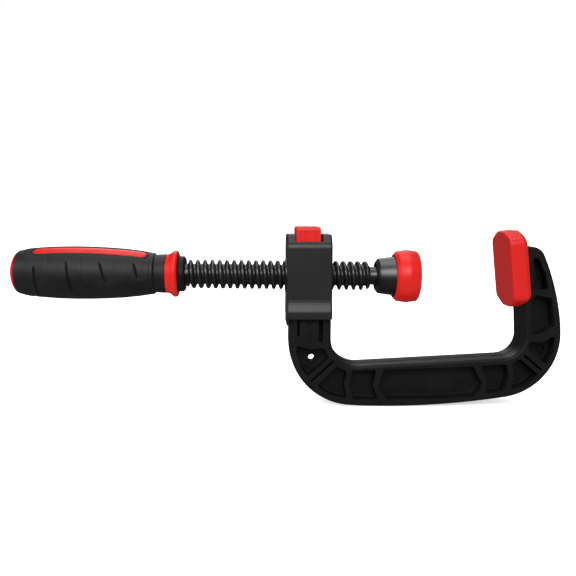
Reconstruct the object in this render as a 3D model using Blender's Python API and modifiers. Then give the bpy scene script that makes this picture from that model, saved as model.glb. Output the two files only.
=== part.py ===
"""Quick-release screw clamp with a ribbed, moulded C frame.

Every size below is in millimetres. The origin is the centre of the fixed jaw's face. +X runs
from the handle towards the fixed jaw, Y is the clamp's thickness, and +Z points from the bar
towards the release button. The screw leans a little from +X, as AXIS_TILT says, and turned
pieces are drawn along their own +Z, which the empty "screw_axis" points along the screw.
"""
import math

import bmesh
import bpy
from mathutils import Matrix, Vector

MM = 0.001
GAP = 0.3                       # clearance between separate pieces
ROUND = 24                      # sides of a large turned piece
SMALL_ROUND = 16                # sides of a small one
FAR = 30.0                      # reach of a cutter that passes right through
WELD = 1e-6                     # metres; joins coincident points

# Screw axis: the point of it that lies at the middle of the head, and its lean
HEAD_X = -134.2
AXIS_Z = -4.2
AXIS_TILT = math.radians(0.62)

# Trapezoidal thread, right-handed
PITCH = 5.0
THREAD_R = 10.0
ROOT_R = 7.0
CREST_FLAT = 1.7
ROOT_FLAT = 1.3
FLANK = (PITCH - CREST_FLAT - ROOT_FLAT) / 2
THREAD_STEPS = 14
THREAD_PHASE = -0.75            # where one thread groove starts at the screw's underside
THREAD_FROM = -83.0             # along the screw, from the middle of the head
THREAD_TO = 42.2
SHANK_R = 6.8
SHANK_END = -180.0
NECK_R = 6.2
BALL_AT = 55.0
BALL_R = 8.4

# C frame: outline arcs as (centre x, centre z, radius)
FRAME_T = 22.4
POST_LEFT = -147.3
POST_RIGHT = -118.8
HEEL = (-103.3, -49.3, 44.0)
BOTTOM = (-81.2, 447.0, 541.0)
TOE = (-4.9, -45.35, 42.7)
ARM_BACK = (-123.2, -55.8, 161.6)
ARM_TIP = (15.6, 6.3, 9.5)
THROAT_LEFT = (-99.8, -46.8, 19.0)
THROAT_RIGHT = (-1.0, -45.95, 14.4)
ARM_KINK_Z = -31.0
POCKET_DEPTH = 9.0
DIMPLE_DEPTH = 1.7
POST_GROOVE = ((-134.7, -131.7), (-49.6, -34.4))
POST_GROOVE_DEPTH = 0.5
WEB_HOLE_R = 2.3

# Head block and its cover
BLOCK_LEFT = -147.1
BLOCK_RIGHT = -121.0
BLOCK_HALF = 13.2
BLOCK_TOP = 21.4
SHOULDER_Z = -33.4
BLOCK_TAPER = (-21.0, -27.6)    # where the block narrows to the post
COVER_WALL = 2.0
COVER_LEFT = -149.2
COVER_RIGHT = -118.7
COVER_HALF = 15.5
COVER_TOP = 24.0
COVER_BOTTOM = -33.1
COVER_RIDGE_HALF = 9.5
COVER_EAVE_Z = 17.0
COVER_TAPER = (-22.3, -28.4)
SKIRT_HALF = 17.6
LIP_HALF = 12.7
LIP_BOTTOM = -37.5
BORE_R = 10.6
BUSH_R = 12.0
BUSH_BORE_R = 10.35
BUSH_PROUD = 0.6
BUSH_LENGTH = 4.9

# Release: the button and the half nut move down together
TRAVEL = 3.5
NUT_LENGTH = 15.4
NUT_HALF = 12.9
NUT_TOP = 13.0
NUT_BOTTOM = -19.0
NUT_BORE_R = 10.35
TOOTH_ARC = math.radians(40.0)
BUTTON_LEFT = -142.9
BUTTON_RIGHT = -126.6
BUTTON_HALF = 13.2
BUTTON_TOP = 29.2
BUTTON_UNDER = 14.0
SLOT_LEFT = -143.4
SLOT_RIGHT = -124.8
SLOT_HALF = 13.5
LUG_X = 3.0
LUG_Y = 4.0
LUG_TOP = 19.0
BUTTON_EDGE = 2.6
LINK_PIN_HALF = 11.0
BUTTON_ROOM_FLOOR = 9.8
STEM_HALF = 11.8                # the button's stem, below STEM_TOP
STEM_TOP = 19.0
LINK_PIN_R = 1.2
LINK_PIN_Z = 16.6
SPRING_R = 3.4
SPRING_WIRE_R = 0.45
SPRING_TURNS = 6
SPRING_FLOOR = -34.0

# Handle, along the screw
CORE_R = 11.9
PIN_AT = -110.0
HANDLE_PIN_R = 1.5
HANDLE_PIN_HALF = 11.4
DOME_AT = -198.1
GRIP_TO = -97.5
FLANGE_FROM = -97.2
FLANGE_TO = -88.9
FLANGE_PROFILE = ((-97.2, 13.4), (-95.0, 13.65), (-93.0, 15.05), (-91.8, 15.9), (-90.7, 16.1),
                  (-89.6, 15.6), (-88.9, 14.2))
STRIPE_MID = -148.0
INLAY_BED = 1.6
INLAY_PROUD = 0.1
STRIPE_LENGTH = 76.7
STRIPE_HALF = 3.85
STRIPE_ANGLE = math.radians(64.0)   # above the horizontal, on the side facing -Y
COLLAR_R = 12.2
COLLAR_TO = -84.1

# Swivel, along the screw
CUP_FROM = 46.45
CUP_SMALL_R = 12.1
CUP_LARGE_R = 13.6
CUP_MOUTH_R = 8.7
CUP_CAVITY_R = 10.75
CUP_FLANGE_R = 15.2
CUP_FLANGE_FROM = 60.3
CUP_FLANGE_TO = 63.5
CUP_NOSE = 67.3
PAD_BACK = 58.8
PAD_FRONT = 74.9
PAD_R = 18.15
INSERT_R = 10.4
INSERT_BORE_R = 8.75

# Fixed jaw pad, drawn upright and then leant by JAW_LEAN
JAW_LEAN = math.radians(6.57)
JAW_T = 12.0
JAW_HALF_W = 17.4
JAW_HALF_H = 26.0
JAW_CHAMFER_W = 11.7
JAW_CHAMFER_H = 5.5
JAW_SEAT = 8.6
JAW_LIP_T = 1.2
JAW_LIP_INSET = 1.6


# Pockets on each side of the frame as (x, z) corners, narrow slots as (x, z, x, z, width), the
# hole through the web and the (x, z, radius) of the dimples in it
POCKETS = (
    ((-142.2, -51.2), (-132.4, -54.2), (-123.9, -53.1), (-119.8, -60.2), (-134.6, -73.2),
     (-138.6, -67.5), (-142.4, -55.8)),
    ((-114.9, -66.1), (-108.3, -69.0), (-107.9, -71.5), (-109.7, -78.3), (-107.3, -88.4),
     (-114.6, -87.4), (-121.4, -84.7), (-128.2, -79.5)),
    ((-104.1, -68.8), (-87.6, -68.3), (-89.7, -80.0), (-85.6, -89.2), (-102.8, -89.2),
     (-106.0, -78.6)),
    ((-82.7, -68.2), (-86.0, -80.2), (-80.0, -89.2), (-50.4, -88.9), (-20.5, -87.2),
     (-16.2, -82.6), (-15.0, -77.6), (-21.4, -65.9)),
    ((-16.6, -65.4), (-12.0, -75.6), (-12.5, -85.1), (0.0, -83.6), (3.1, -72.2), (1.6, -64.3)),
    ((10.4, -60.6), (5.0, -63.8), (6.3, -72.2), (5.0, -82.2), (15.4, -79.2), (23.4, -71.7)),
    ((16.1, -49.1), (25.9, -48.8), (33.4, -44.2), (33.0, -54.4), (28.6, -64.9), (15.1, -54.5)),
    ((19.4, -16.8), (30.0, -18.8), (32.8, -37.4), (25.6, -42.6), (19.6, -44.2), (16.9, -40.3),
     (16.2, -21.0)),
    ((16.3, 8.6), (20.4, 7.8), (25.2, -2.8), (27.6, -13.4), (17.6, -12.2)),
)
SLOTS = (
    (-117.6, -62.6, -132.0, -76.2, 1.4),
    (13.4, -58.4, 25.0, -68.1, 1.4),
    (-141.1, -34.4, -141.1, -44.4, 1.7),
    (-125.9, -35.0, -125.9, -47.8, 3.0),
)
POCKET_CORNER = 1.6
WEB_HOLE = (-131.6, -61.3)
DIMPLES = ((28.1, -55.3, 1.9), (23.6, -6.7, 1.3))

# Grip outline, along the screw
GRIP_PROFILE = (
    (-197.4, 15.0), (-193.7, 15.9), (-189.5, 16.7), (-184.0, 17.1), (-172.3, 17.9),
    (-159.9, 18.2), (-148.8, 18.1), (-137.8, 17.7), (-126.8, 17.0), (-115.7, 15.8),
    (-108.2, 14.6), (-105.4, 14.2), (-104.4, 13.1), (-97.5, 13.4),
)
GRIP_END_R = 14.6
CAP_PROFILE = ((-204.3, 0.0), (-204.0, 3.0), (-203.2, 6.0), (-202.1, 9.0), (-200.9, 11.7),
               (-199.5, 13.6), (-198.4, 14.4))
CAP_STEM_R = 8.0
CAP_STEM_LENGTH = 6.5

# ---------------------------------------------------------------- scene helpers

for old in list(bpy.data.objects):
    bpy.data.objects.remove(old, do_unlink=True)


def new_collection(name, hidden):
    found = bpy.data.collections.new(name)
    found.hide_render = hidden
    bpy.context.scene.collection.children.link(found)
    return found


PARTS = new_collection("quick_release_clamp", False)
CUTTERS = new_collection("cutters", True)

COLOURS = {
    "nylon_black": ((0.018, 0.018, 0.020), 0.0, 0.55),
    "grip_black": ((0.012, 0.012, 0.013), 0.0, 0.62),
    "plastic_red": ((0.55, 0.012, 0.010), 0.0, 0.38),
    "steel_black": ((0.02, 0.02, 0.022), 0.9, 0.35),
    "steel_bright": ((0.55, 0.55, 0.56), 1.0, 0.35),
}


def material(node, kind):
    """Every node has its own material, so that the colour and the roughness belong to it."""
    colour, metallic, roughness = COLOURS[kind]
    made = bpy.data.materials.new(node)
    made.use_nodes = True
    shader = made.node_tree.nodes["Principled BSDF"]
    shader.inputs["Base Color"].default_value = (*colour, 1.0)
    shader.inputs["Metallic"].default_value = metallic
    shader.inputs["Roughness"].default_value = roughness
    return made


SCREW_AXIS = bpy.data.objects.new("screw_axis", None)
SCREW_AXIS.location = (HEAD_X * MM, 0.0, AXIS_Z * MM)
SCREW_AXIS.rotation_euler = (0.0, math.pi / 2 + AXIS_TILT, 0.0)
PARTS.objects.link(SCREW_AXIS)


def adopt(made, kind):
    """A piece with a material is a node, and one without is a cutter."""
    if kind:
        PARTS.objects.link(made)
        made.data.materials.append(material(made.name, kind))
    else:
        CUTTERS.objects.link(made)
        made.display_type = 'WIRE'


def keep(name, bm, kind=None, on_screw=False):
    """Makes a piece of this shape, which is given in millimetres."""
    bmesh.ops.remove_doubles(bm, verts=bm.verts, dist=WELD / MM)
    bmesh.ops.recalc_face_normals(bm, faces=bm.faces)
    bmesh.ops.scale(bm, vec=Vector((MM, MM, MM)), verts=bm.verts)
    mesh = bpy.data.meshes.new(name)
    bm.to_mesh(mesh)
    bm.free()
    made = bpy.data.objects.new(name, mesh)
    adopt(made, kind)
    if on_screw:
        made.parent = SCREW_AXIS
    return made


def boolean(target, tool, operation):
    change = target.modifiers.new(tool.name, 'BOOLEAN')
    change.object = tool
    change.operation = operation
    change.solver = 'EXACT'


def cut(target, *tools):
    for tool in tools:
        boolean(target, tool, 'DIFFERENCE')


def join(target, *tools):
    for tool in tools:
        boolean(target, tool, 'UNION')


def arc(circle, start, end, steps):
    """Points of an arc of the circle (centre, centre, radius), between two angles in radians."""
    cx, cy, radius = circle
    turns = (start + (end - start) * i / steps for i in range(steps + 1))
    return [(cx + radius * math.cos(a), cy + radius * math.sin(a)) for a in turns]


def toward(big, small):
    """The angle at which a circle touches a smaller one inside it."""
    return math.atan2(small[1] - big[1], small[0] - big[0])


def rounded(corners, radius, steps=2):
    """The outline with each corner rounded."""
    outline = []
    for i, corner in enumerate(corners):
        here = Vector(corner)
        to_last = Vector(corners[i - 1]) - here
        to_next = Vector(corners[(i + 1) % len(corners)]) - here
        room = 0.45 * min(to_last.length, to_next.length)
        reach = min(room, radius / math.tan(to_last.angle(to_next) / 2))
        to_last.normalize()
        to_next.normalize()
        for k in range(steps + 1):
            share = k / steps
            a = here + to_last * reach * (1 - share) ** 2
            outline.append(tuple(a + to_next * reach * share ** 2))
    return outline


def add_prism(bm, outline, low, high, along):
    """Adds an outline extruded along X, Y or Z, where it lies in the two other axes."""
    place = {'X': lambda a, b, d: Vector((d, a, b)), 'Y': lambda a, b, d: Vector((a, d, b)),
             'Z': lambda a, b, d: Vector((a, b, d))}[along]
    face = bm.faces.new([bm.verts.new(place(a, b, low)) for a, b in outline])
    grown = bmesh.ops.extrude_face_region(bm, geom=[face])["geom"]
    moved = [item for item in grown if isinstance(item, bmesh.types.BMVert)]
    bmesh.ops.translate(bm, vec=place(0, 0, high - low), verts=moved)


def prism(name, outline, low, high, along, kind=None, on_screw=False):
    bm = bmesh.new()
    add_prism(bm, outline, low, high, along)
    return keep(name, bm, kind, on_screw)


def box(name, xs, ys, zs, kind=None):
    bm = bmesh.new()
    middle = Vector((sum(xs) / 2, sum(ys) / 2, sum(zs) / 2))
    size = (xs[1] - xs[0], ys[1] - ys[0], zs[1] - zs[0])
    at = Matrix.Translation(middle) @ Matrix.Diagonal((*size, 1.0))
    bmesh.ops.create_cube(bm, size=1.0, matrix=at)
    return keep(name, bm, kind)


def rod(name, centre, radius, low, high, along, kind=None, on_screw=False):
    """A cylinder along X, Y or Z, whose centre is given in the two other axes."""
    a, b = centre
    middle = (low + high) / 2
    spot, turn = {'Y': ((a, middle, b), Matrix.Rotation(math.pi / 2, 4, 'X')),
                  'Z': ((a, b, middle), Matrix.Identity(4))}[along]
    bm = bmesh.new()
    bmesh.ops.create_cone(bm, cap_ends=True, segments=SMALL_ROUND, radius1=radius, radius2=radius,
                          depth=high - low, matrix=Matrix.Translation(spot) @ turn)
    return keep(name, bm, kind, on_screw)


def turned(name, profile, kind=None, sides=ROUND, closed=False):
    """Turns (height, radius) points about the screw. A closed profile makes a ring.

    The points run from low to high on the outer side, and are taken in reverse because the
    Screw modifier faces outwards when its profile runs downwards.
    """
    points = [(radius * MM, 0.0, height * MM) for height, radius in reversed(profile)]
    edges = [(i, i + 1) for i in range(len(points) - 1)]
    if closed:
        edges.append((len(points) - 1, 0))
    mesh = bpy.data.meshes.new(name)
    mesh.from_pydata(points, edges, [])
    made = bpy.data.objects.new(name, mesh)
    made.parent = SCREW_AXIS
    adopt(made, kind)
    spin = made.modifiers.new("turning", 'SCREW')
    spin.axis = 'Z'
    spin.angle = 2 * math.pi
    spin.screw_offset = 0.0
    spin.steps = sides
    spin.render_steps = sides
    spin.use_merge_vertices = True
    spin.merge_threshold = WELD
    spin.use_smooth_shade = False
    return made


def ring(name, low, high, inner, outer, kind=None, sides=ROUND):
    profile = ((low, inner), (low, outer), (high, outer), (high, inner))
    return turned(name, profile, kind, sides, closed=True)


def lean(made):
    """Leans a piece about the origin as the fixed jaw leans."""
    made.rotation_euler = (0.0, -JAW_LEAN, 0.0)
    return made


# ---------------------------------------------------------------- frame and head


def frame_outline():
    """The C shape in X and Z, anticlockwise from the top of the post."""
    heel_to_bottom = toward(BOTTOM, HEEL)
    bottom_to_toe = toward(BOTTOM, TOE)
    toe_to_arm = toward(ARM_BACK, TOE)
    arm_to_tip = toward(ARM_BACK, ARM_TIP)
    seat = (JAW_SEAT + GAP) / math.cos(JAW_LEAN)
    top_z = ARM_TIP[1] + ARM_TIP[2]
    points = [(POST_LEFT, SHOULDER_Z)]
    points += arc(HEEL, -math.pi, heel_to_bottom, 12)
    points += arc(BOTTOM, heel_to_bottom, bottom_to_toe, 8)[1:]
    points += arc(TOE, bottom_to_toe, toe_to_arm, 12)[1:]
    points += arc(ARM_BACK, toe_to_arm, arm_to_tip, 6)[1:]
    points += arc(ARM_TIP, arm_to_tip, math.pi / 2, 6)[1:]
    points.append((seat - top_z * math.tan(JAW_LEAN), top_z))
    points.append((seat - ARM_KINK_Z * math.tan(JAW_LEAN), ARM_KINK_Z))
    points += arc(THROAT_RIGHT, 0.0, math.radians(-85.0), 8)
    points += arc(THROAT_LEFT, math.radians(-87.3), -math.pi, 9)
    points.append((POST_RIGHT, SHOULDER_Z))
    return points


def slot_outline(x0, z0, x1, z1, width):
    """A round-ended slot between two points."""
    heading = math.atan2(z1 - z0, x1 - x0)
    quarter = math.pi / 2
    half = width / 2
    return (arc((x0, z0, half), heading + quarter, heading + 3 * quarter, 4)
            + arc((x1, z1, half), heading - quarter, heading + quarter, 4))


def pocket_cutter():
    """All the pockets of both sides, as one tool."""
    bm = bmesh.new()
    floor = FRAME_T / 2 - POCKET_DEPTH
    outlines = [rounded(corners, POCKET_CORNER) for corners in POCKETS]
    outlines += [slot_outline(*slot) for slot in SLOTS]
    for outline in outlines:
        for side in (-1, 1):
            add_prism(bm, outline, side * floor, side * FRAME_T, 'Y')
    return keep("pockets", bm)


def head_outline(half, top, ridge_half, eave_z, taper, foot_half, bottom):
    """The head's section in Y and Z: a ridge, eaves, a straight side, a taper and a foot."""
    right = [(ridge_half, top), (half, eave_z), (half, taper[0]), (foot_half, taper[1]),
             (foot_half, bottom)]
    return right + [(-y, z) for y, z in reversed(right)]


def cut_web_details(frame):
    """The blind dimples in the web and the shallow groove down the post, on both sides."""
    floor = FRAME_T / 2 - POCKET_DEPTH
    for side, name in ((-1, "front"), (1, "back")):
        for i, (x, z, radius) in enumerate(DIMPLES):
            low, high = sorted((side * (floor - DIMPLE_DEPTH), side * (floor + 1)))
            cut(frame, rod(f"dimple_{i}_{name}", (x, z), radius, low, high, 'Y'))
        low, high = sorted((side * (FRAME_T / 2 - POST_GROOVE_DEPTH), side * FRAME_T))
        cut(frame, box(f"post_groove_{name}", POST_GROOVE[0], (low, high), POST_GROOVE[1]))


def make_frame():
    frame = prism("c_frame", frame_outline(), -FRAME_T / 2, FRAME_T / 2, 'Y', "nylon_black")
    block = head_outline(BLOCK_HALF, BLOCK_TOP, COVER_RIDGE_HALF - 1.5, COVER_EAVE_Z - 1.4,
                         BLOCK_TAPER, FRAME_T / 2 - 0.2, SHOULDER_Z - 2)
    join(frame, prism("head_block", block, BLOCK_LEFT, BLOCK_RIGHT, 'X'))
    cut(frame, pocket_cutter())
    cut(frame, rod("web_hole", WEB_HOLE, WEB_HOLE_R, -FRAME_T, FRAME_T, 'Y'))
    cut_web_details(frame)
    half = NUT_LENGTH / 2 + GAP
    low = NUT_BOTTOM - TRAVEL - GAP
    cut(frame, box("nut_room", (HEAD_X - half, HEAD_X + half), (-FAR, FAR), (low, FAR)))
    cut(frame, box("button_room", (BUTTON_LEFT - 1, BUTTON_RIGHT + 1), (-FAR, FAR),
                   (BUTTON_ROOM_FLOOR, FAR)))
    cut(frame, rod("spring_well", (HEAD_X, 0.0), SPRING_R + 1.2, SPRING_FLOOR - GAP, low + 1,
                   'Z'))
    cut(frame, turned("screw_bore", ((-FAR, 0), (-FAR, BORE_R), (FAR, BORE_R), (FAR, 0))))
    reach = COVER_WALL + 3
    left = COVER_LEFT - HEAD_X
    right = COVER_RIGHT - HEAD_X
    seat = BUSH_R + GAP
    for side, low, high in (("left", left - 1, left + reach), ("right", right - reach, right + 1)):
        cut(frame, turned(f"bush_seat_{side}", ((low, 0), (low, seat), (high, seat), (high, 0))))
    return frame


def make_cover():
    outer = head_outline(COVER_HALF, COVER_TOP, COVER_RIDGE_HALF, COVER_EAVE_Z, COVER_TAPER,
                         SKIRT_HALF, COVER_BOTTOM)
    inner = head_outline(COVER_HALF - COVER_WALL, COVER_TOP - COVER_WALL,
                         COVER_RIDGE_HALF - 0.9, COVER_EAVE_Z - 0.9,
                         (COVER_TAPER[0] + 0.6, COVER_TAPER[1] + 0.2),
                         FRAME_T / 2 + GAP, COVER_BOTTOM - 9)
    cover = prism("head_cover", outer, COVER_LEFT, COVER_RIGHT, 'X', "nylon_black")
    join(cover, box("cover_lip", (COVER_LEFT, POST_LEFT), (-LIP_HALF, LIP_HALF),
                    (LIP_BOTTOM, COVER_BOTTOM + 2)))
    cut(cover, prism("cover_room", inner, POST_LEFT - GAP, COVER_RIGHT - COVER_WALL, 'X'))
    cut(cover, box("button_slot", (SLOT_LEFT, SLOT_RIGHT), (-SLOT_HALF, SLOT_HALF), (15, FAR)))
    seat = BUSH_R + GAP
    cut(cover, turned("cover_bore", ((-FAR, 0), (-FAR, seat), (FAR, seat), (FAR, 0))))
    return cover


def make_bushes():
    left = COVER_LEFT - HEAD_X - BUSH_PROUD
    right = COVER_RIGHT - HEAD_X + BUSH_PROUD
    ring("guide_bush_left", left, left + BUSH_LENGTH, BUSH_BORE_R, BUSH_R, "steel_black")
    ring("guide_bush_right", right - BUSH_LENGTH, right, BUSH_BORE_R, BUSH_R, "steel_black")


# ---------------------------------------------------------------- quick release


def add_ridge(bm, radii, widths, phase, first, last, steps):
    """Adds a helical ridge about +Z. Radii and widths are (base, crest); angles in turns."""
    sections = []
    for i in range(steps + 1):
        turn = first + (last - first) * i / steps
        angle = 2 * math.pi * turn
        middle = phase + PITCH * turn
        corners = ((radii[0], -widths[0]), (radii[1], -widths[1]), (radii[1], widths[1]),
                   (radii[0], widths[0]))
        sections.append([bm.verts.new((r * math.cos(angle), r * math.sin(angle), middle + w / 2))
                         for r, w in corners])
    bm.faces.new(sections[0])
    bm.faces.new(sections[-1])
    for a, b in zip(sections, sections[1:]):
        for k in range(4):
            bm.faces.new((a[k - 1], a[k], b[k], b[k - 1]))


def nut_teeth():
    """Short teeth that fill the thread's grooves at the underside."""
    bm = bmesh.new()
    reach = TOOTH_ARC / 2 / (2 * math.pi)
    top_width = ROOT_FLAT + 2 * FLANK / 3 - 2 * GAP
    base_width = ROOT_FLAT + 2 * FLANK - 2 * GAP
    for groove in (0, 1):
        phase = THREAD_PHASE + PITCH * groove
        add_ridge(bm, (THREAD_R + 1.2, ROOT_R + 1), (base_width, top_width), phase, -reach,
                  reach, 6)
    return keep("teeth", bm, on_screw=True)


def make_half_nut():
    half = NUT_LENGTH / 2
    nut = box("half_nut", (HEAD_X - half, HEAD_X + half), (-NUT_HALF, NUT_HALF),
              (NUT_BOTTOM, NUT_TOP), "steel_bright")
    join(nut, box("nut_lug", (HEAD_X - LUG_X, HEAD_X + LUG_X), (-LUG_Y, LUG_Y),
                  (NUT_TOP - 1, LUG_TOP)))
    top = AXIS_Z + TRAVEL
    outline = (arc((0.0, top, NUT_BORE_R), 0.0, math.pi, 12)
               + arc((0.0, AXIS_Z, NUT_BORE_R), math.pi, 2 * math.pi, 12))
    cut(nut, prism("nut_bore", outline, HEAD_X - FAR, HEAD_X + FAR, 'X'))
    join(nut, nut_teeth())
    cut(nut, rod("lug_hole", (HEAD_X, LINK_PIN_Z), LINK_PIN_R + GAP, -FAR, FAR, 'Y'))
    return nut


def make_button():
    edge = BUTTON_EDGE
    corner = BUTTON_EDGE * (1 - math.sqrt(0.5))
    outline = rounded(((BUTTON_LEFT, BUTTON_UNDER), (BUTTON_RIGHT, BUTTON_UNDER),
                       (BUTTON_RIGHT, BUTTON_TOP), (BUTTON_LEFT, BUTTON_TOP)), 1.0)
    button = prism("release_button", outline, -BUTTON_HALF, BUTTON_HALF, 'Y', "plastic_red")
    side = ((BUTTON_HALF - edge, BUTTON_TOP + 1), (BUTTON_HALF - edge, BUTTON_TOP),
            (BUTTON_HALF - corner, BUTTON_TOP - corner), (BUTTON_HALF, BUTTON_TOP - edge),
            (BUTTON_HALF + 1, BUTTON_TOP - edge), (BUTTON_HALF + 1, BUTTON_TOP + 1))
    for name, flip in (("front", -1), ("back", 1)):
        cut(button, prism(f"button_edge_{name}", [(flip * y, z) for y, z in side],
                          BUTTON_LEFT - 1, BUTTON_RIGHT + 1, 'X'))
        # Under the cover's eaves the stem is narrower than the cap
        wall = ((flip * STEM_HALF, BUTTON_UNDER - 1), (flip * FAR, BUTTON_UNDER - 1),
                (flip * FAR, STEM_TOP), (flip * STEM_HALF, STEM_TOP))
        cut(button, prism(f"button_relief_{name}", wall, BUTTON_LEFT - 1, BUTTON_RIGHT + 1, 'X'))
    cut(button, box("lug_room", (HEAD_X - LUG_X - GAP, HEAD_X + LUG_X + GAP),
                    (-LUG_Y - GAP, LUG_Y + GAP), (BUTTON_UNDER - 1, LUG_TOP + GAP)))
    cut(button, rod("pin_hole", (HEAD_X, LINK_PIN_Z), LINK_PIN_R + GAP, -FAR, FAR, 'Y'))
    rod("link_pin", (HEAD_X, LINK_PIN_Z), LINK_PIN_R, -LINK_PIN_HALF, LINK_PIN_HALF, 'Y',
        kind="steel_bright")


def make_spring():
    bm = bmesh.new()
    low = SPRING_FLOOR + SPRING_WIRE_R
    high = NUT_BOTTOM - GAP - SPRING_WIRE_R
    steps = SPRING_TURNS * 8
    sides = 5
    rings = []
    for i in range(steps + 1):
        angle = 2 * math.pi * SPRING_TURNS * i / steps
        middle = low + (high - low) * i / steps
        rings.append([])
        for k in range(sides):
            spot = 2 * math.pi * k / sides
            radius = SPRING_R + SPRING_WIRE_R * math.cos(spot)
            height = middle + SPRING_WIRE_R * math.sin(spot)
            at = (HEAD_X + radius * math.cos(angle), radius * math.sin(angle), height)
            rings[-1].append(bm.verts.new(at))
    bm.faces.new(rings[0])
    bm.faces.new(rings[-1])
    for a, b in zip(rings, rings[1:]):
        for k in range(sides):
            bm.faces.new((a[k - 1], a[k], b[k], b[k - 1]))
    keep("return_spring", bm, "steel_bright")


# ---------------------------------------------------------------- screw and handle


def threaded_rod(low, high):
    """A rod whose surface is the thread. Its ends are ragged and are cut off flat later."""
    bm = bmesh.new()
    stations = ((0.0, ROOT_R), (ROOT_FLAT, ROOT_R), (ROOT_FLAT + FLANK, THREAD_R),
                (ROOT_FLAT + FLANK + CREST_FLAT, THREAD_R))
    pitches = math.ceil((high - low) / PITCH) + 2
    start = THREAD_PHASE - ROOT_FLAT / 2
    start += PITCH * (math.floor((low - start) / PITCH) - 1)
    count = len(stations) * pitches
    rows = []
    for k in range(THREAD_STEPS):
        angle = 2 * math.pi * k / THREAD_STEPS
        row = []
        for j in range(count + 1):
            along, radius = stations[j % len(stations)]
            z = start + PITCH * (j // len(stations) + k / THREAD_STEPS) + along
            row.append(bm.verts.new((radius * math.cos(angle), radius * math.sin(angle), z)))
        rows.append(row)
    for k in range(THREAD_STEPS - 1):
        for j in range(count):
            bm.faces.new((rows[k][j], rows[k + 1][j], rows[k + 1][j + 1], rows[k][j + 1]))
    shift = len(stations)
    for j in range(count - shift):
        bm.faces.new((rows[-1][j], rows[0][j + shift], rows[0][j + shift + 1], rows[-1][j + 1]))
    foot = [row[0] for row in rows] + list(reversed(rows[0][1:shift + 1]))
    head = [row[-1] for row in rows] + [rows[-1][j] for j in range(count - 1, count - shift - 1, -1)]
    for loop in (foot, head):
        middle = sum((v.co.z for v in loop)) / len(loop)
        hub = bm.verts.new((0.0, 0.0, middle))
        for i in range(len(loop)):
            bm.faces.new((loop[i - 1], loop[i], hub))
    return keep("spindle", bm, "steel_black", on_screw=True)


def make_spindle():
    spindle = threaded_rod(THREAD_FROM, THREAD_TO)
    for name, low, high in (("tail_end", THREAD_FROM - FAR, THREAD_FROM),
                            ("nose_end", THREAD_TO, THREAD_TO + FAR)):
        cut(spindle, turned(name, ((low, 0), (low, FAR), (high, FAR), (high, 0)), sides=8))
    shank = ((SHANK_END, 0), (SHANK_END, SHANK_R), (THREAD_FROM + 2, SHANK_R),
             (THREAD_FROM + 2, 0))
    ball = [(BALL_AT - BALL_R * math.cos(a), BALL_R * math.sin(a))
            for a in (math.pi * i / 12 for i in range(13))]
    neck_meets = BALL_AT - math.sqrt(BALL_R ** 2 - NECK_R ** 2)
    neck = [(THREAD_TO - 2, 0), (THREAD_TO - 2, NECK_R), (neck_meets, NECK_R)]
    neck += [point for point in ball if point[0] > neck_meets + 0.5]
    neck[-1] = (BALL_AT + BALL_R, 0)
    join(spindle, turned("shank", shank), turned("neck_and_ball", neck, sides=SMALL_ROUND))
    cut(spindle, rod("shank_pin_hole", (0.0, PIN_AT), HANDLE_PIN_R + GAP, -FAR, FAR, 'Y',
                     on_screw=True))
    return spindle


def stripe_plan(half, length):
    """The inlay's outline across and along the handle, with round ends."""
    low = (0.0, STRIPE_MID - length / 2 + half, half)
    high = (0.0, STRIPE_MID + length / 2 - half, half)
    return arc(low, -math.pi, 0.0, 8) + arc(high, 0.0, math.pi, 8)


def turn_to(made, angle):
    """Turns a piece about the screw, so that what lay along local +X faces this angle."""
    made.rotation_euler = (0.0, 0.0, angle)
    return made


def plan_prism(name, half, length, kind=None):
    bm = bmesh.new()
    add_prism(bm, stripe_plan(half, length), CORE_R - 1, FAR, 'X')
    return keep(name, bm, kind, on_screw=True)


def shell(name, below, above):
    """A sleeve that follows the grip's surface, from this far below it to this far above."""
    outer = [(z, r + above) for z, r in GRIP_PROFILE]
    inner = [(z, r - below) for z, r in reversed(GRIP_PROFILE)]
    return turned(name, outer + inner, sides=ROUND, closed=True)


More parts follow.
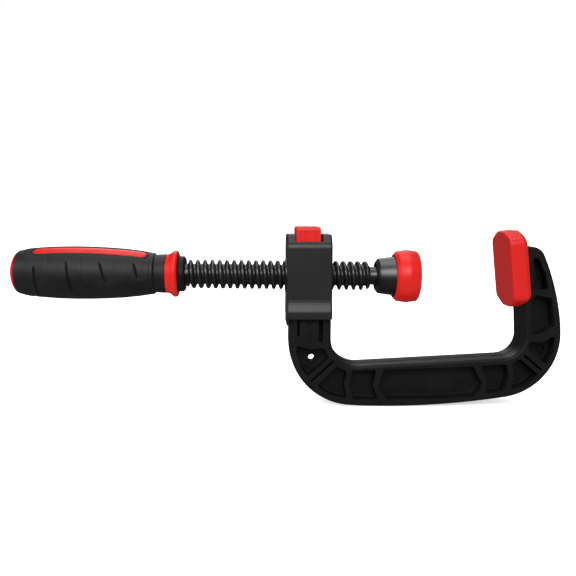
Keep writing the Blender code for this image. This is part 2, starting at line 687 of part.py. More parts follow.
def make_handle():
    start = DOME_AT
    outer = [(start, GRIP_END_R)] + list(GRIP_PROFILE)
    inner_r = CORE_R + GAP
    outline = outer + [(GRIP_TO, inner_r), (start, inner_r)]
    grip = turned("handle_grip", outline, "grip_black", closed=True)
    for name, angle in (("front", -math.pi / 2 - STRIPE_ANGLE), ("back", math.pi / 2 - STRIPE_ANGLE)):
        pocket = turn_to(plan_prism(f"inlay_pocket_{name}", STRIPE_HALF + GAP,
                                    STRIPE_LENGTH + 2 * GAP), angle)
        floor = shell(f"pocket_shell_{name}", INLAY_BED, 3.0)
        boolean(pocket, floor, 'INTERSECT')
        cut(grip, pocket)
        inlay = turn_to(plan_prism(f"inlay_{name}", STRIPE_HALF, STRIPE_LENGTH, "plastic_red"),
                        angle)
        boolean(inlay, shell(f"inlay_shell_{name}", INLAY_BED - GAP, INLAY_PROUD), 'INTERSECT')
    core = turned("handle_core", ((start + GAP, 0), (start + GAP, CORE_R), (GRIP_TO, CORE_R),
                                  (GRIP_TO, 0)), "grip_black")
    bore = SHANK_R + GAP
    cut(core, turned("core_bore", ((SHANK_END - GAP, 0), (SHANK_END - GAP, bore),
                                   (GRIP_TO + 5, bore), (GRIP_TO + 5, 0))))
    cut(core, rod("core_pin_hole", (0.0, PIN_AT), HANDLE_PIN_R + GAP, -FAR, FAR, 'Y',
                  on_screw=True))
    socket = CAP_STEM_R + GAP
    depth = start + CAP_STEM_LENGTH + GAP
    cut(core, turned("cap_socket", ((start - 5, 0), (start - 5, socket), (depth, socket),
                                    (depth, 0))))
    rod("handle_pin", (0.0, PIN_AT), HANDLE_PIN_R, -HANDLE_PIN_HALF, HANDLE_PIN_HALF, 'Y',
        kind="steel_bright", on_screw=True)
    stem = [(start - GAP, CAP_STEM_R), (start + CAP_STEM_LENGTH, CAP_STEM_R),
            (start + CAP_STEM_LENGTH, 0)]
    turned("end_cap", list(CAP_PROFILE) + stem, "plastic_red")
    flange = [(FLANGE_FROM, bore)] + list(FLANGE_PROFILE) + [(FLANGE_TO, bore)]
    turned("handle_flange", flange, "plastic_red", closed=True)
    collar = ((FLANGE_TO + GAP, bore), (FLANGE_TO + GAP, COLLAR_R), (COLLAR_TO - 1.1, COLLAR_R),
              (COLLAR_TO, COLLAR_R - 1.1), (COLLAR_TO, bore))
    turned("handle_collar", collar, "nylon_black", closed=True)


# ---------------------------------------------------------------- jaws


def sphere_zone(inner, outer, start, end, steps):
    """The closed (along, radius) profile of a ball shell between two angles from the back."""
    turns = [start + (end - start) * i / steps for i in range(steps + 1)]
    outside = [(BALL_AT - outer * math.cos(a), outer * math.sin(a)) for a in turns]
    inside = [(BALL_AT - inner * math.cos(a), inner * math.sin(a)) for a in reversed(turns)]
    return outside + inside


def make_swivel():
    ball_room = BALL_R + GAP
    turned("retaining_ring", sphere_zone(ball_room, INSERT_R, math.radians(50),
                                         math.radians(80), 3), "steel_bright", closed=True)
    turns = [math.radians(92 + 88 * i / 6) for i in range(7)]
    seat = [(BALL_AT - INSERT_BORE_R * math.cos(a), INSERT_BORE_R * math.sin(a)) for a in turns]
    back = [(BALL_AT - INSERT_R * math.cos(a), INSERT_R * math.sin(a)) for a in turns]
    profile = seat[:-1] + [(seat[-1][0], 0)]
    turned("socket_insert", list(reversed(profile)) + back[:-1] + [(back[-1][0], 0)],
           "nylon_black")
    mouth_at = BALL_AT - math.sqrt(CUP_CAVITY_R ** 2 - CUP_MOUTH_R ** 2)
    first = math.acos((BALL_AT - mouth_at) / CUP_CAVITY_R)
    cavity = [(BALL_AT - CUP_CAVITY_R * math.cos(a), CUP_CAVITY_R * math.sin(a))
              for a in (math.pi - (math.pi - first) * i / 9 for i in range(10))]
    cavity[0] = (BALL_AT + CUP_CAVITY_R, 0)
    outside = [(CUP_FROM, CUP_MOUTH_R), (CUP_FROM, 9.7), (CUP_FROM + 1.9, CUP_SMALL_R)]
    outside += [(PAD_BACK, CUP_LARGE_R), (CUP_FLANGE_FROM, CUP_LARGE_R),
                (CUP_FLANGE_FROM, CUP_FLANGE_R), (CUP_FLANGE_TO, CUP_FLANGE_R),
                (CUP_FLANGE_TO, CUP_LARGE_R), (CUP_NOSE, 11.0), (CUP_NOSE, 0)]
    turned("swivel_cup", cavity + outside, "nylon_black")
    seat_r = CUP_LARGE_R + GAP
    pad = [(CUP_NOSE + GAP, 0), (CUP_NOSE + GAP, 11.0), (CUP_FLANGE_TO + GAP, seat_r),
           (CUP_FLANGE_TO + GAP, CUP_FLANGE_R + GAP), (CUP_FLANGE_FROM - GAP, CUP_FLANGE_R + GAP),
           (CUP_FLANGE_FROM - GAP, seat_r), (PAD_BACK, seat_r), (PAD_BACK, 15.0),
           (PAD_BACK + 2.1, 17.1), (PAD_BACK + 4.4, 17.7), (PAD_BACK + 8.6, PAD_R),
           (PAD_BACK + 13.0, 17.7)]
    pad += arc((PAD_FRONT - 1.1, 16.15, 1.1), math.pi / 2, 0.0, 3) + [(PAD_FRONT, 0)]
    turned("swivel_pad", pad, "plastic_red")


def make_jaw_pad():
    """Drawn upright: the face in the plane X = 0 and the back at X = JAW_T."""
    top = JAW_HALF_H
    side = JAW_HALF_W
    corners = [(side, top - JAW_CHAMFER_H), (side - JAW_CHAMFER_W, top)]
    upper = corners + [(-y, z) for y, z in reversed(corners)]
    outline = upper + [(-y, -z) for y, z in upper]
    inset = [(y * (1 - JAW_LIP_INSET / side), z * (1 - JAW_LIP_INSET / top)) for y, z in outline]
    pad = lean(prism("fixed_jaw_pad", outline, 0.0, JAW_T - JAW_LIP_T, 'X', "plastic_red"))
    join(pad, lean(prism("pad_shoulder", inset, JAW_T / 2, JAW_T, 'X')))
    arm = FRAME_T / 2 + GAP
    top_z = (ARM_TIP[1] + ARM_TIP[2]) / math.cos(JAW_LEAN) + 0.6
    cut(pad, lean(box("arm_seat", (JAW_SEAT, JAW_T + 5), (-arm, arm), (-JAW_HALF_H - 9, top_z))))
    change = pad.modifiers.new("edges", 'BEVEL')
    change.width = 0.9 * MM
    change.segments = 2
    change.limit_method = 'ANGLE'
    change.angle_limit = math.radians(25)


make_frame()
make_cover()
make_bushes()
make_half_nut()
make_button()
make_spring()
make_spindle()
make_handle()
make_swivel()
make_jaw_pad()
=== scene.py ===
"""Looks for the quick-release screw clamp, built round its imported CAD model.

Sizes are in millimetres, in the CAD model's frame: the origin is the centre of the fixed jaw's
face, +X runs from the handle to the fixed jaw, and +Z points from the bar to the button. Turned
pieces are drawn along their own +Z and laid along the leaning screw by SCREW.
"""
import math

import bmesh
import bpy
from mathutils import Matrix, Vector


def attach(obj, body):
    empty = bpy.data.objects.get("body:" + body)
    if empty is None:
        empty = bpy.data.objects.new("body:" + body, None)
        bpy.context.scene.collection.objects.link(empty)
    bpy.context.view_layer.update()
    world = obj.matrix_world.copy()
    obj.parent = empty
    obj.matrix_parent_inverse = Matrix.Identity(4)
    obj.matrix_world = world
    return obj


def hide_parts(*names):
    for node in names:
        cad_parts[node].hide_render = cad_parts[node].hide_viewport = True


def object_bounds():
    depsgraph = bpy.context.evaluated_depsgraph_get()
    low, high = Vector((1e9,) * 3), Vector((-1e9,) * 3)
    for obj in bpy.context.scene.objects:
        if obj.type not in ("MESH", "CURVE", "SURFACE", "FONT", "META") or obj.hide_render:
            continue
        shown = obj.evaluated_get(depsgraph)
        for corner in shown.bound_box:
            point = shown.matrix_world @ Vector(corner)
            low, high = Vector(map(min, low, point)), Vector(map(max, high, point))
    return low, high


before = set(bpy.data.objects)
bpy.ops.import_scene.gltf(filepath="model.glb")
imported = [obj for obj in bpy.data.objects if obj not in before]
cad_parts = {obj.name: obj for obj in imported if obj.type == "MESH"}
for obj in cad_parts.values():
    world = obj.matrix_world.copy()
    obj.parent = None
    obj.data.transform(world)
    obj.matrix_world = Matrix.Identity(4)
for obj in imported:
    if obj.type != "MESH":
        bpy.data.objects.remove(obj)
CAD_BOX = [list(corner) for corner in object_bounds()]

MM = 0.001
ROUND = 96                      # sides of a turned piece

# The screw axis: its point at the middle of the head, and its lean below +X
HEAD_X = -134.2
AXIS_Z = -4.2
AXIS_TILT = math.radians(0.62)
SCREW = (Matrix.Translation((HEAD_X * MM, 0.0, AXIS_Z * MM))
         @ Matrix.Rotation(math.pi / 2 + AXIS_TILT, 4, 'Y'))

# Thread
PITCH = 5.0
THREAD_R = 10.0
ROOT_R = 7.0
CREST_FLAT = 1.7
ROOT_FLAT = 1.3
THREAD_PHASE = -0.75
THREAD_FROM = -83.0
THREAD_TO = 42.2
SHANK_R = 6.8
SHANK_END = -180.0
NECK_R = 6.2
BALL_AT = 55.0
BALL_R = 8.4

# C frame
FRAME_T = 22.4
POST_LEFT = -147.3
POST_RIGHT = -118.8
HEEL = (-103.3, -49.3, 44.0)
BOTTOM = (-81.2, 447.0, 541.0)
TOE = (-4.9, -45.35, 42.7)
ARM_BACK = (-123.2, -55.8, 161.6)
ARM_TIP = (15.6, 6.3, 9.5)
THROAT_LEFT = (-99.8, -46.8, 19.0)
THROAT_RIGHT = (-1.0, -45.95, 14.4)
ARM_KINK_Z = -31.0
FRAME_EDGE = 1.8
CUT_EDGE = 0.35                 # rounding of the edges left by the cuts
PARTING_RISE = 0.25
PARTING_HALF = 0.35
POST_CHAMFER = ((-33.0, -35.4), 0.9)    # the two heights and the depth at the upper one
POCKET_DEPTH = 9.0
POCKET_CORNER = 1.8
POCKET_FLOOR_ROUND = 1.2
DIMPLE_DEPTH = 1.7
POST_GROOVE = ((-134.7, -131.7), (-49.6, -34.4))
POST_GROOVE_DEPTH = 0.5
WEB_HOLE_R = 2.2
# The raised rim round a hole in the web: height above the web, and radius
RIM_PROFILE = ((-0.3, WEB_HOLE_R), (-0.3, 3.2), (0.7, 3.1), (1.0, 2.8), (1.0, 2.4),
               (0.8, WEB_HOLE_R))
SHOULDER_Z = -33.4
POCKETS = (
    ((-142.2, -51.2), (-132.4, -54.2), (-123.9, -53.1), (-119.8, -60.2), (-134.6, -73.2),
     (-138.6, -67.5), (-142.4, -55.8)),
    ((-114.9, -66.1), (-108.3, -69.0), (-107.9, -71.5), (-109.7, -78.3), (-107.3, -88.4),
     (-114.6, -87.4), (-121.4, -84.7), (-128.2, -79.5)),
    ((-104.1, -68.8), (-87.6, -68.3), (-89.7, -80.0), (-85.6, -89.2), (-102.8, -89.2),
     (-106.0, -78.6)),
    ((-82.7, -68.2), (-86.0, -80.2), (-80.0, -89.2), (-50.4, -88.9), (-20.5, -87.2),
     (-16.2, -82.6), (-15.0, -77.6), (-21.4, -65.9)),
    ((-16.6, -65.4), (-12.0, -75.6), (-12.5, -85.1), (0.0, -83.6), (3.1, -72.2), (1.6, -64.3)),
    ((10.4, -60.6), (5.0, -63.8), (6.3, -72.2), (5.0, -82.2), (15.4, -79.2), (23.4, -71.7)),
    ((16.1, -49.1), (25.9, -48.8), (33.4, -44.2), (33.0, -54.4), (28.6, -64.9), (15.1, -54.5)),
    ((19.4, -16.8), (30.0, -18.8), (32.8, -37.4), (25.6, -42.6), (19.6, -44.2), (16.9, -40.3),
     (16.2, -21.0)),
    ((16.3, 8.6), (20.4, 7.8), (25.2, -2.8), (27.6, -13.4), (17.6, -12.2)),
)
SLOTS = (
    (-117.6, -62.6, -132.0, -76.2, 1.4),
    (13.4, -58.4, 25.0, -68.1, 1.4),
    (-141.1, -34.4, -141.1, -44.4, 1.7),
    (-125.9, -35.0, -125.9, -47.8, 3.0),
)
WEB_HOLE = (-131.6, -61.3)
DIMPLES = ((28.1, -55.3, 1.9), (23.6, -6.7, 1.3))

# Head
BLOCK_LEFT = -147.1
BLOCK_RIGHT = -121.0
BLOCK_HALF = 13.2
BLOCK_TOP = 21.4
BLOCK_TAPER = (-21.0, -27.6)
COVER_LEFT = -149.2
COVER_RIGHT = -118.7
COVER_WALL = 2.0
COVER_HALF = 15.5
COVER_TOP = 24.0
COVER_RIDGE_HALF = 9.5
COVER_EAVE_Z = 17.0
COVER_TAPER = (-22.3, -28.4)
COVER_BOTTOM = -33.1
SKIRT_HALF = 17.6
FLARE = ((15.5, -18.2), (15.55, -19.8), (15.75, -21.5), (16.1, -23.1), (16.55, -24.6),
         (17.0, -25.8), (17.35, -26.8), (17.55, -27.7), (17.6, -28.6))
FLARE_FOOT = -29.0
COVER_END_EDGE = 1.4
EAVE_ROUND = 7.0
RIDGE_ROUND = 2.4
LIP_HALF = 12.7
LIP_BOTTOM = -37.5
BUSH_R = 12.0
BUSH_BORE_R = 10.35
BUSH_PROUD = 0.6
BUSH_LENGTH = 4.9
GAP = 0.3
NUT_ROOM = (-142.2, -126.2)
NUT_FLOOR = -22.8
SPRING_WELL_R = 4.6
SPRING_WELL_FLOOR = -34.3
BLOCK_BORE_R = 10.6
BUTTON_ROOM_FLOOR = 9.8
ROOM_HALF = 20.0                # how far a cut through the head reaches to each side
ROOM_TOP = 30.0                 # and how far up
SLOT_LEFT = -143.4
SLOT_RIGHT = -124.8
SLOT_HALF = 13.5
SLOT_FLOOR = 15.0
BUTTON_LEFT = -142.9
BUTTON_RIGHT = -126.6
BUTTON_HALF = 13.2
BUTTON_TOP = 29.2
BUTTON_UNDER = 14.0
STEM_HALF = 11.8
STEM_TOP = 19.0
BUTTON_EDGE = 2.4
BUTTON_CUT = 14.0               # where the cuts into the button's broad sides end, outside it
PANEL_INSET = 2.2
PANEL_TOP = 3.2                 # below the button's top
PANEL_DEPTH = 0.35
LUG_ROOM = (3.3, 4.3, 19.3)     # half length, half width and top of the half nut's lug room
LINK_PIN_Z = 16.6
LINK_PIN_HOLE_R = 1.5

# Handle, along the screw
DOME_AT = -198.1
GRIP_TO = -97.5
GRIP_BORE_R = 12.2
FLANGE_FROM = -97.2
FLANGE_TO = -88.9
FLANGE_PROFILE = (
    (-95.8, 13.45), (-95.0, 13.65), (-94.3, 14.0), (-93.6, 14.5), (-93.0, 15.05),
    (-92.4, 15.55), (-91.8, 15.9), (-91.1, 16.08), (-90.4, 16.05), (-89.8, 15.8),
    (-89.3, 15.35), (-89.0, 14.8), (-88.9, 14.2),
)
COLLAR_R = 12.2
COLLAR_TO = -84.1
STRIPE_MID = -148.0
STRIPE_LENGTH = 76.7
STRIPE_HALF = 3.85
STRIPE_ANGLE = math.radians(64.0)
BORDER_WIDTH = 1.5
BORDER_HEIGHT = 0.45
GRIP_PROFILE = (
    (-198.1, 14.6), (-197.4, 15.0), (-193.7, 15.9), (-192.3, 16.3),
    (-189.5, 16.7), (-184.0, 17.1), (-172.3, 17.9), (-159.9, 18.2), (-148.8, 18.1),
    (-137.8, 17.7), (-126.8, 17.0), (-115.7, 15.8), (-108.2, 14.6), (-105.4, 14.2),
    (-104.4, 13.1), (-97.5, 13.4),
)
CAP_PROFILE = (
    (-204.3, 0.0), (-204.25, 1.5), (-204.0, 3.0), (-203.65, 4.5), (-203.2, 6.0),
    (-202.65, 7.6), (-202.1, 9.0), (-201.5, 10.4), (-200.9, 11.7), (-200.2, 12.8),
    (-199.5, 13.6), (-198.9, 14.1), (-198.4, 14.4),
)
CAP_STEM_R = 8.0
CAP_STEM_LENGTH = 6.5
# Diagonal creases of the grip: where each starts and ends along the screw, and its two angles
# above the side that faces -Y
CREASES = ((-183.7, -182.4, 18, -57), (-162.0, -158.9, 28, -42),
           (-139.9, -135.8, 27, -19), (-117.4, -114.7, 28, -10))
CREASE_DEPTH = 1.05
CREASE_HALF = 0.95
CREASE_STEP = 0.3               # the surface behind a crease starts this much lower
CREASE_FADE = 9.0               # and comes back up over this length
FAINT_LINES = (-175.2, -152.6, -130.3, -107.4)
FAINT_LINE_DEPTH = 0.14
FAINT_LINE_HALF = 0.6
INLAY_BED = 1.5
INLAY_PROUD = 0.08
INLAY_UNDER = -1.2
GRIP_STEP = -104.9              # the step by the grip's neck
# Notches across the grip's top and underside near its end: where, facing which way, how wide
NOTCHES = ((-187.0, -90, 1.6), (-193.8, 84, 1.0))
NOTCH_DEPTH = 0.8

# Swivel, along the screw
CUP_FROM = 46.45
CUP_SMALL_R = 12.1
CUP_LARGE_R = 13.6
CUP_MOUTH_R = 8.7
CUP_CAVITY_R = 10.75
CUP_FLANGE_R = 15.2
CUP_FLANGE_FROM = 60.3
CUP_FLANGE_TO = 63.5
CUP_NOSE = 67.3
PAD_BACK = 58.8
PAD_FRONT = 74.9

# Fixed jaw pad, drawn upright and then leant
JAW_LEAN = math.radians(6.57)
JAW_T = 12.0
JAW_HALF_W = 17.4
JAW_HALF_H = 26.0
JAW_CHAMFER_W = 11.7
JAW_CHAMFER_H = 5.5
JAW_SEAT = 8.6
JAW_LIP_T = 1.2
JAW_CORNER_ROUND = 6.5
JAW_FACE_EDGE = 1.5
LEAN = Matrix.Rotation(-JAW_LEAN, 4, 'Y')


# ---------------------------------------------------------------- shapes

def place(bm, name, matrix=None):
    """Makes an object of a shape given in millimetres."""
    bmesh.ops.remove_doubles(bm, verts=bm.verts, dist=0.001)
    bmesh.ops.recalc_face_normals(bm, faces=bm.faces)
    bmesh.ops.scale(bm, vec=Vector((MM, MM, MM)), verts=bm.verts)
    if matrix:
        bmesh.ops.transform(bm, matrix=matrix, verts=bm.verts)
    mesh = bpy.data.meshes.new(name)
    bm.to_mesh(mesh)
    bm.free()
    made = bpy.data.objects.new(name, mesh)
    bpy.context.scene.collection.objects.link(made)
    return made


def arc(circle, start, end, steps):
    cx, cy, radius = circle
    turns = (start + (end - start) * i / steps for i in range(steps + 1))
    return [(cx + radius * math.cos(a), cy + radius * math.sin(a)) for a in turns]


def toward(big, small):
    """The angle at which a circle touches a smaller one inside it."""
    return math.atan2(small[1] - big[1], small[0] - big[0])


def rounded(corners, radii, steps=5):
    """The outline with each corner rounded, by one radius or by one for each corner."""
    if not isinstance(radii, (list, tuple)):
        radii = [radii] * len(corners)
    outline = []
    for i, (corner, radius) in enumerate(zip(corners, radii)):
        here = Vector(corner)
        to_last = Vector(corners[i - 1]) - here
        to_next = Vector(corners[(i + 1) % len(corners)]) - here
        room = 0.45 * min(to_last.length, to_next.length)
        reach = min(room, radius / math.tan(to_last.angle(to_next) / 2))
        to_last.normalize()
        to_next.normalize()
        for k in range(steps + 1):
            share = k / steps
            a = here + to_last * reach * (1 - share) ** 2
            outline.append(tuple(a + to_next * reach * share ** 2))
    return outline


def add_prism(bm, outline, low, high, along):
    at = {'X': lambda a, b, d: (d, a, b), 'Y': lambda a, b, d: (a, d, b),
          'Z': lambda a, b, d: (a, b, d)}[along]
    face = bm.faces.new([bm.verts.new(at(a, b, low)) for a, b in outline])
    raised = bmesh.ops.extrude_face_region(bm, geom=[face])
    top = [v for v in raised["geom"] if isinstance(v, bmesh.types.BMVert)]
    bmesh.ops.translate(bm, vec=Vector(at(0, 0, high - low)), verts=top)


def prism(name, outline, low, high, along, matrix=None):
    bm = bmesh.new()
    add_prism(bm, outline, low, high, along)
    return place(bm, name, matrix)


def box(name, xs, ys, zs, matrix=None):
    outline = [(xs[0], zs[0]), (xs[1], zs[0]), (xs[1], zs[1]), (xs[0], zs[1])]
    return prism(name, outline, *ys, 'Y', matrix)


def turned(name, profile, sides=ROUND, closed=False, matrix=SCREW):
    """Turns (height, radius) points about +Z. A closed profile makes a ring."""
    bm = bmesh.new()
    points = [bm.verts.new((r, 0.0, z)) for z, r in profile]
    edges = [bm.edges.new((a, b)) for a, b in zip(points, points[1:])]
    if closed:
        edges.append(bm.edges.new((points[-1], points[0])))
    bmesh.ops.spin(bm, geom=points + edges, axis=(0, 0, 1), cent=(0, 0, 0),
                   angle=2 * math.pi, steps=sides, use_merge=True)
    return place(bm, name, matrix)


def soften(profile, radii, steps=4, closed=False):
    """Rounds the inner corners of an open profile, or every corner of a closed one."""
    if closed:
        return rounded(profile, radii, steps)
    inner = rounded(profile, [radii] * len(profile), steps)
    return [profile[0]] + inner[steps + 1:-(steps + 1)] + [profile[-1]]


def bevel(made, width, segments=3, angle=30, clamp=False):
    change = made.modifiers.new("edges", 'BEVEL')
    change.width = width * MM
    change.segments = segments
    change.limit_method = 'ANGLE'
    change.angle_limit = math.radians(angle)
    change.use_clamp_overlap = clamp
    return made


def boolean(target, tool, operation='DIFFERENCE'):
    change = target.modifiers.new("shape", 'BOOLEAN')
    change.object = tool
    change.operation = operation
    change.solver = 'EXACT'
    return target


def settle(made, angle=28):
    """Applies the modifiers, removes their tools, and shades the flatter edges smooth."""
    graph = bpy.context.evaluated_depsgraph_get()
    mesh = bpy.data.meshes.new_from_object(made.evaluated_get(graph))
    tools = [m.object for m in made.modifiers if m.type == 'BOOLEAN']
    made.modifiers.clear()
    made.data = mesh
    for tool in tools:
        bpy.data.objects.remove(tool, do_unlink=True)
    for polygon in mesh.polygons:
        polygon.use_smooth = True
    mesh.set_sharp_from_angle(angle=math.radians(angle))
    return made


def finish(made, body, paint, nodes, flatten=False):
    """Dresses a piece, puts it on its body and hides the CAD nodes that it stands for."""
    made.data.materials.clear()
    made.data.materials.append(paint)
    if flatten:
        change = made.modifiers.new("normals", 'WEIGHTED_NORMAL')
        change.keep_sharp = True
    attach(made, body)
    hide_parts(*nodes)
    return made


# ---------------------------------------------------------------- materials

def paint(name, colour, roughness, metallic=0.0, grain=0.25, grain_depth=0.02, mottle=0.25,
          scuff=0.12, sheen=0.0, specular=0.32, brushed=False):
    """A moulded or machined surface: fine grain in the bump, mottled colour and roughness.

    grain is the size of the grain and grain_depth its height, both in millimetres. mottle is how
    far the colour strays, and scuff how far the roughness does. brushed stretches the grain
    round the screw, as turning marks.
    """
    made = bpy.data.materials.new(name)
    made.use_nodes = True
    nodes = made.node_tree.nodes
    links = made.node_tree.links
    shader = nodes["Principled BSDF"]
    shader.inputs["Metallic"].default_value = metallic
    shader.inputs["Specular IOR Level"].default_value = specular
    shader.inputs["Sheen Weight"].default_value = sheen
    shader.inputs["Sheen Roughness"].default_value = 0.5
    where = nodes.new("ShaderNodeTexCoord")
    spread = nodes.new("ShaderNodeMapping")
    spread.inputs["Scale"].default_value = (14.0, 1.0, 1.0) if brushed else (1.0, 1.0, 1.0)
    links.new(where.outputs["Object"], spread.inputs["Vector"])

    fine = nodes.new("ShaderNodeTexNoise")
    fine.inputs["Scale"].default_value = 1.0 / (grain * MM)
    fine.inputs["Detail"].default_value = 3.0
    fine.inputs["Roughness"].default_value = 0.6
    links.new(spread.outputs["Vector"], fine.inputs["Vector"])
    broad = nodes.new("ShaderNodeTexNoise")
    broad.inputs["Scale"].default_value = 90.0
    broad.inputs["Detail"].default_value = 5.0
    broad.inputs["Roughness"].default_value = 0.65
    broad.inputs["Distortion"].default_value = 0.4
    links.new(where.outputs["Object"], broad.inputs["Vector"])

    tone = nodes.new("ShaderNodeValToRGB")
    tone.color_ramp.elements[0].position = 0.3
    tone.color_ramp.elements[0].color = (*(c * (1 - mottle) for c in colour), 1.0)
    tone.color_ramp.elements[1].position = 0.7
    tone.color_ramp.elements[1].color = (*(min(1.0, c * (1 + mottle)) for c in colour), 1.0)
    links.new(broad.outputs["Fac"], tone.inputs["Fac"])
    links.new(tone.outputs["Color"], shader.inputs["Base Color"])

    mixed = nodes.new("ShaderNodeMix")
    mixed.inputs["Factor"].default_value = 0.35
    links.new(broad.outputs["Fac"], mixed.inputs["A"])
    links.new(fine.outputs["Fac"], mixed.inputs["B"])
    gloss = nodes.new("ShaderNodeMapRange")
    gloss.inputs["From Min"].default_value = 0.3
    gloss.inputs["From Max"].default_value = 0.7
    gloss.inputs["To Min"].default_value = max(0.03, roughness - scuff)
    gloss.inputs["To Max"].default_value = min(1.0, roughness + scuff)
    links.new(mixed.outputs["Result"], gloss.inputs["Value"])
    links.new(gloss.outputs["Result"], shader.inputs["Roughness"])

    bump = nodes.new("ShaderNodeBump")
    bump.inputs["Strength"].default_value = 1.0
    bump.inputs["Distance"].default_value = grain_depth * MM
    links.new(fine.outputs["Fac"], bump.inputs["Height"])
    links.new(bump.outputs["Normal"], shader.inputs["Normal"])
    return made


NYLON = paint("nylon", (0.0057, 0.0057, 0.006), 0.4, grain=0.35, grain_depth=0.03, mottle=0.15,
              specular=0.08)
COVER_NYLON = paint("cover_nylon", (0.0098, 0.0098, 0.0102), 0.36, grain=0.3, grain_depth=0.012,
                    mottle=0.06, scuff=0.03, specular=0.21)
GRIP = paint("grip", (0.0058, 0.0058, 0.0062), 0.5, grain=0.22, grain_depth=0.03, mottle=0.3,
             specular=0.2, sheen=0.015)
HARD_BLACK = paint("hard_black", (0.0045, 0.0045, 0.005), 0.36, grain=0.4, grain_depth=0.008,
                   scuff=0.05, specular=0.5)
COLLAR_BLACK = paint("collar_black", (0.0065, 0.0065, 0.007), 0.5, grain=0.4, grain_depth=0.012,
                     specular=0.1)
RED = paint("red", (0.44, 0.006, 0.004), 0.4, grain=0.4, grain_depth=0.012, mottle=0.08,
            specular=0.2)
RED_MATT = paint("red_matt", (0.42, 0.007, 0.005), 0.34, grain=0.5, grain_depth=0.003, mottle=0.02,
                 scuff=0.02, specular=0.22)
INLAY = paint("inlay", (0.48, 0.008, 0.004), 0.3, grain=0.5, grain_depth=0.006, mottle=0.06,
              scuff=0.06, specular=0.2)
BLACK_STEEL = paint("black_steel", (0.045, 0.045, 0.047), 0.34, metallic=0.85, grain=0.5,
                    grain_depth=0.003, mottle=0.25, scuff=0.06, brushed=True)
ZINC = paint("zinc", (0.52, 0.52, 0.54), 0.33, metallic=1.0, grain=0.4, grain_depth=0.01,
             mottle=0.12)


# ---------------------------------------------------------------- frame

def frame_outline(grow=0.0):
    """The C shape in X and Z, anticlockwise from the top of the post, grown by this much."""
    def wider(circle, amount=grow):
        return (circle[0], circle[1], circle[2] + amount)

    heel_to_bottom = toward(BOTTOM, HEEL)
    bottom_to_toe = toward(BOTTOM, TOE)
    toe_to_arm = toward(ARM_BACK, TOE)
    arm_to_tip = toward(ARM_BACK, ARM_TIP)
    seat = (JAW_SEAT + GAP) / math.cos(JAW_LEAN)
    top_z = ARM_TIP[1] + ARM_TIP[2]
    points = [(POST_LEFT - grow, SHOULDER_Z)]
    points += arc(wider(HEEL), -math.pi, heel_to_bottom, 30)
    points += arc(wider(BOTTOM), heel_to_bottom, bottom_to_toe, 16)[1:]
    points += arc(wider(TOE), bottom_to_toe, toe_to_arm, 28)[1:]
    points += arc(wider(ARM_BACK), toe_to_arm, arm_to_tip, 14)[1:]
    points += arc(wider(ARM_TIP), arm_to_tip, math.pi / 2, 12)[1:]
    points.append((seat - top_z * math.tan(JAW_LEAN), top_z))
    points.append((seat - ARM_KINK_Z * math.tan(JAW_LEAN), ARM_KINK_Z))
    points += arc(wider(THROAT_RIGHT, -grow), 0.0, math.radians(-85.0), 18)
    points += arc(wider(THROAT_LEFT, -grow), math.radians(-87.3), -math.pi, 22)
    points.append((POST_RIGHT + grow, SHOULDER_Z))
    return points


def slot_outline(x0, z0, x1, z1, width):
    """A round-ended slot between two points."""
    heading = math.atan2(z1 - z0, x1 - x0)
    quarter = math.pi / 2
    half = width / 2
    return (arc((x0, z0, half), heading + quarter, heading + 3 * quarter, 6)
            + arc((x1, z1, half), heading - quarter, heading + quarter, 6))


def pocket_tool(side):
    """The pockets of one side, with rounded edges round their floors."""
    bm = bmesh.new()
    floor = FRAME_T / 2 - POCKET_DEPTH
    for corners in POCKETS:
        add_prism(bm, rounded(corners, POCKET_CORNER, 4), side * floor, side * FRAME_T, 'Y')
    tool = place(bm, "pocket_tool")
    bevel(tool, POCKET_FLOOR_ROUND, 3, 60, True)
    return tool


def slot_tool(side):
    bm = bmesh.new()
    floor = FRAME_T / 2 - POCKET_DEPTH
    for slot in SLOTS:
        add_prism(bm, slot_outline(*slot), side * floor, side * FRAME_T, 'Y')
    return place(bm, "slot_tool")


def web_detail_tool(side):
    """The blind dimples of one side's web, and the shallow groove down the post."""
    bm = bmesh.new()
    floor = FRAME_T / 2 - POCKET_DEPTH
    for x, z, radius in DIMPLES:
        add_prism(bm, arc((x, z, radius), 0, 2 * math.pi, 24)[:-1], side * (floor - DIMPLE_DEPTH),
                  side * (floor + 0.7), 'Y')
    (left, right), (low, high) = POST_GROOVE
    groove = rounded(((left, low), (right, low), (right, high), (left, high)), 0.4, 3)
    add_prism(bm, groove, side * (FRAME_T / 2 - POST_GROOVE_DEPTH), side * FRAME_T, 'Y')
    return place(bm, "web_detail_tool")


def chamfer_tool(side):
    """The slope at the top of the post's broad side, where it goes up inside the cover."""
    face = side * FRAME_T / 2
    (top, foot), depth = POST_CHAMFER
    wedge = ((face - side * depth, top), (face + side, top), (face + side, foot), (face, foot))
    return prism("chamfer_tool", wedge, POST_LEFT - 2, POST_RIGHT + 2, 'X')


def head_outline(half, top, ridge_half, eave_z, taper, foot_half, bottom):
    """The head's section in Y and Z: a ridge, eaves, a straight side, a taper and a foot."""
    right = [(ridge_half, top), (half, eave_z), (half, taper[0]), (foot_half, taper[1]),
             (foot_half, bottom)]
    return right + [(-y, z) for y, z in reversed(right)]


def bore_tool(radius, low=-20, high=20, sides=64):
    return turned("bore_tool", ((low, 0), (low, radius), (high, radius), (high, 0)), sides)


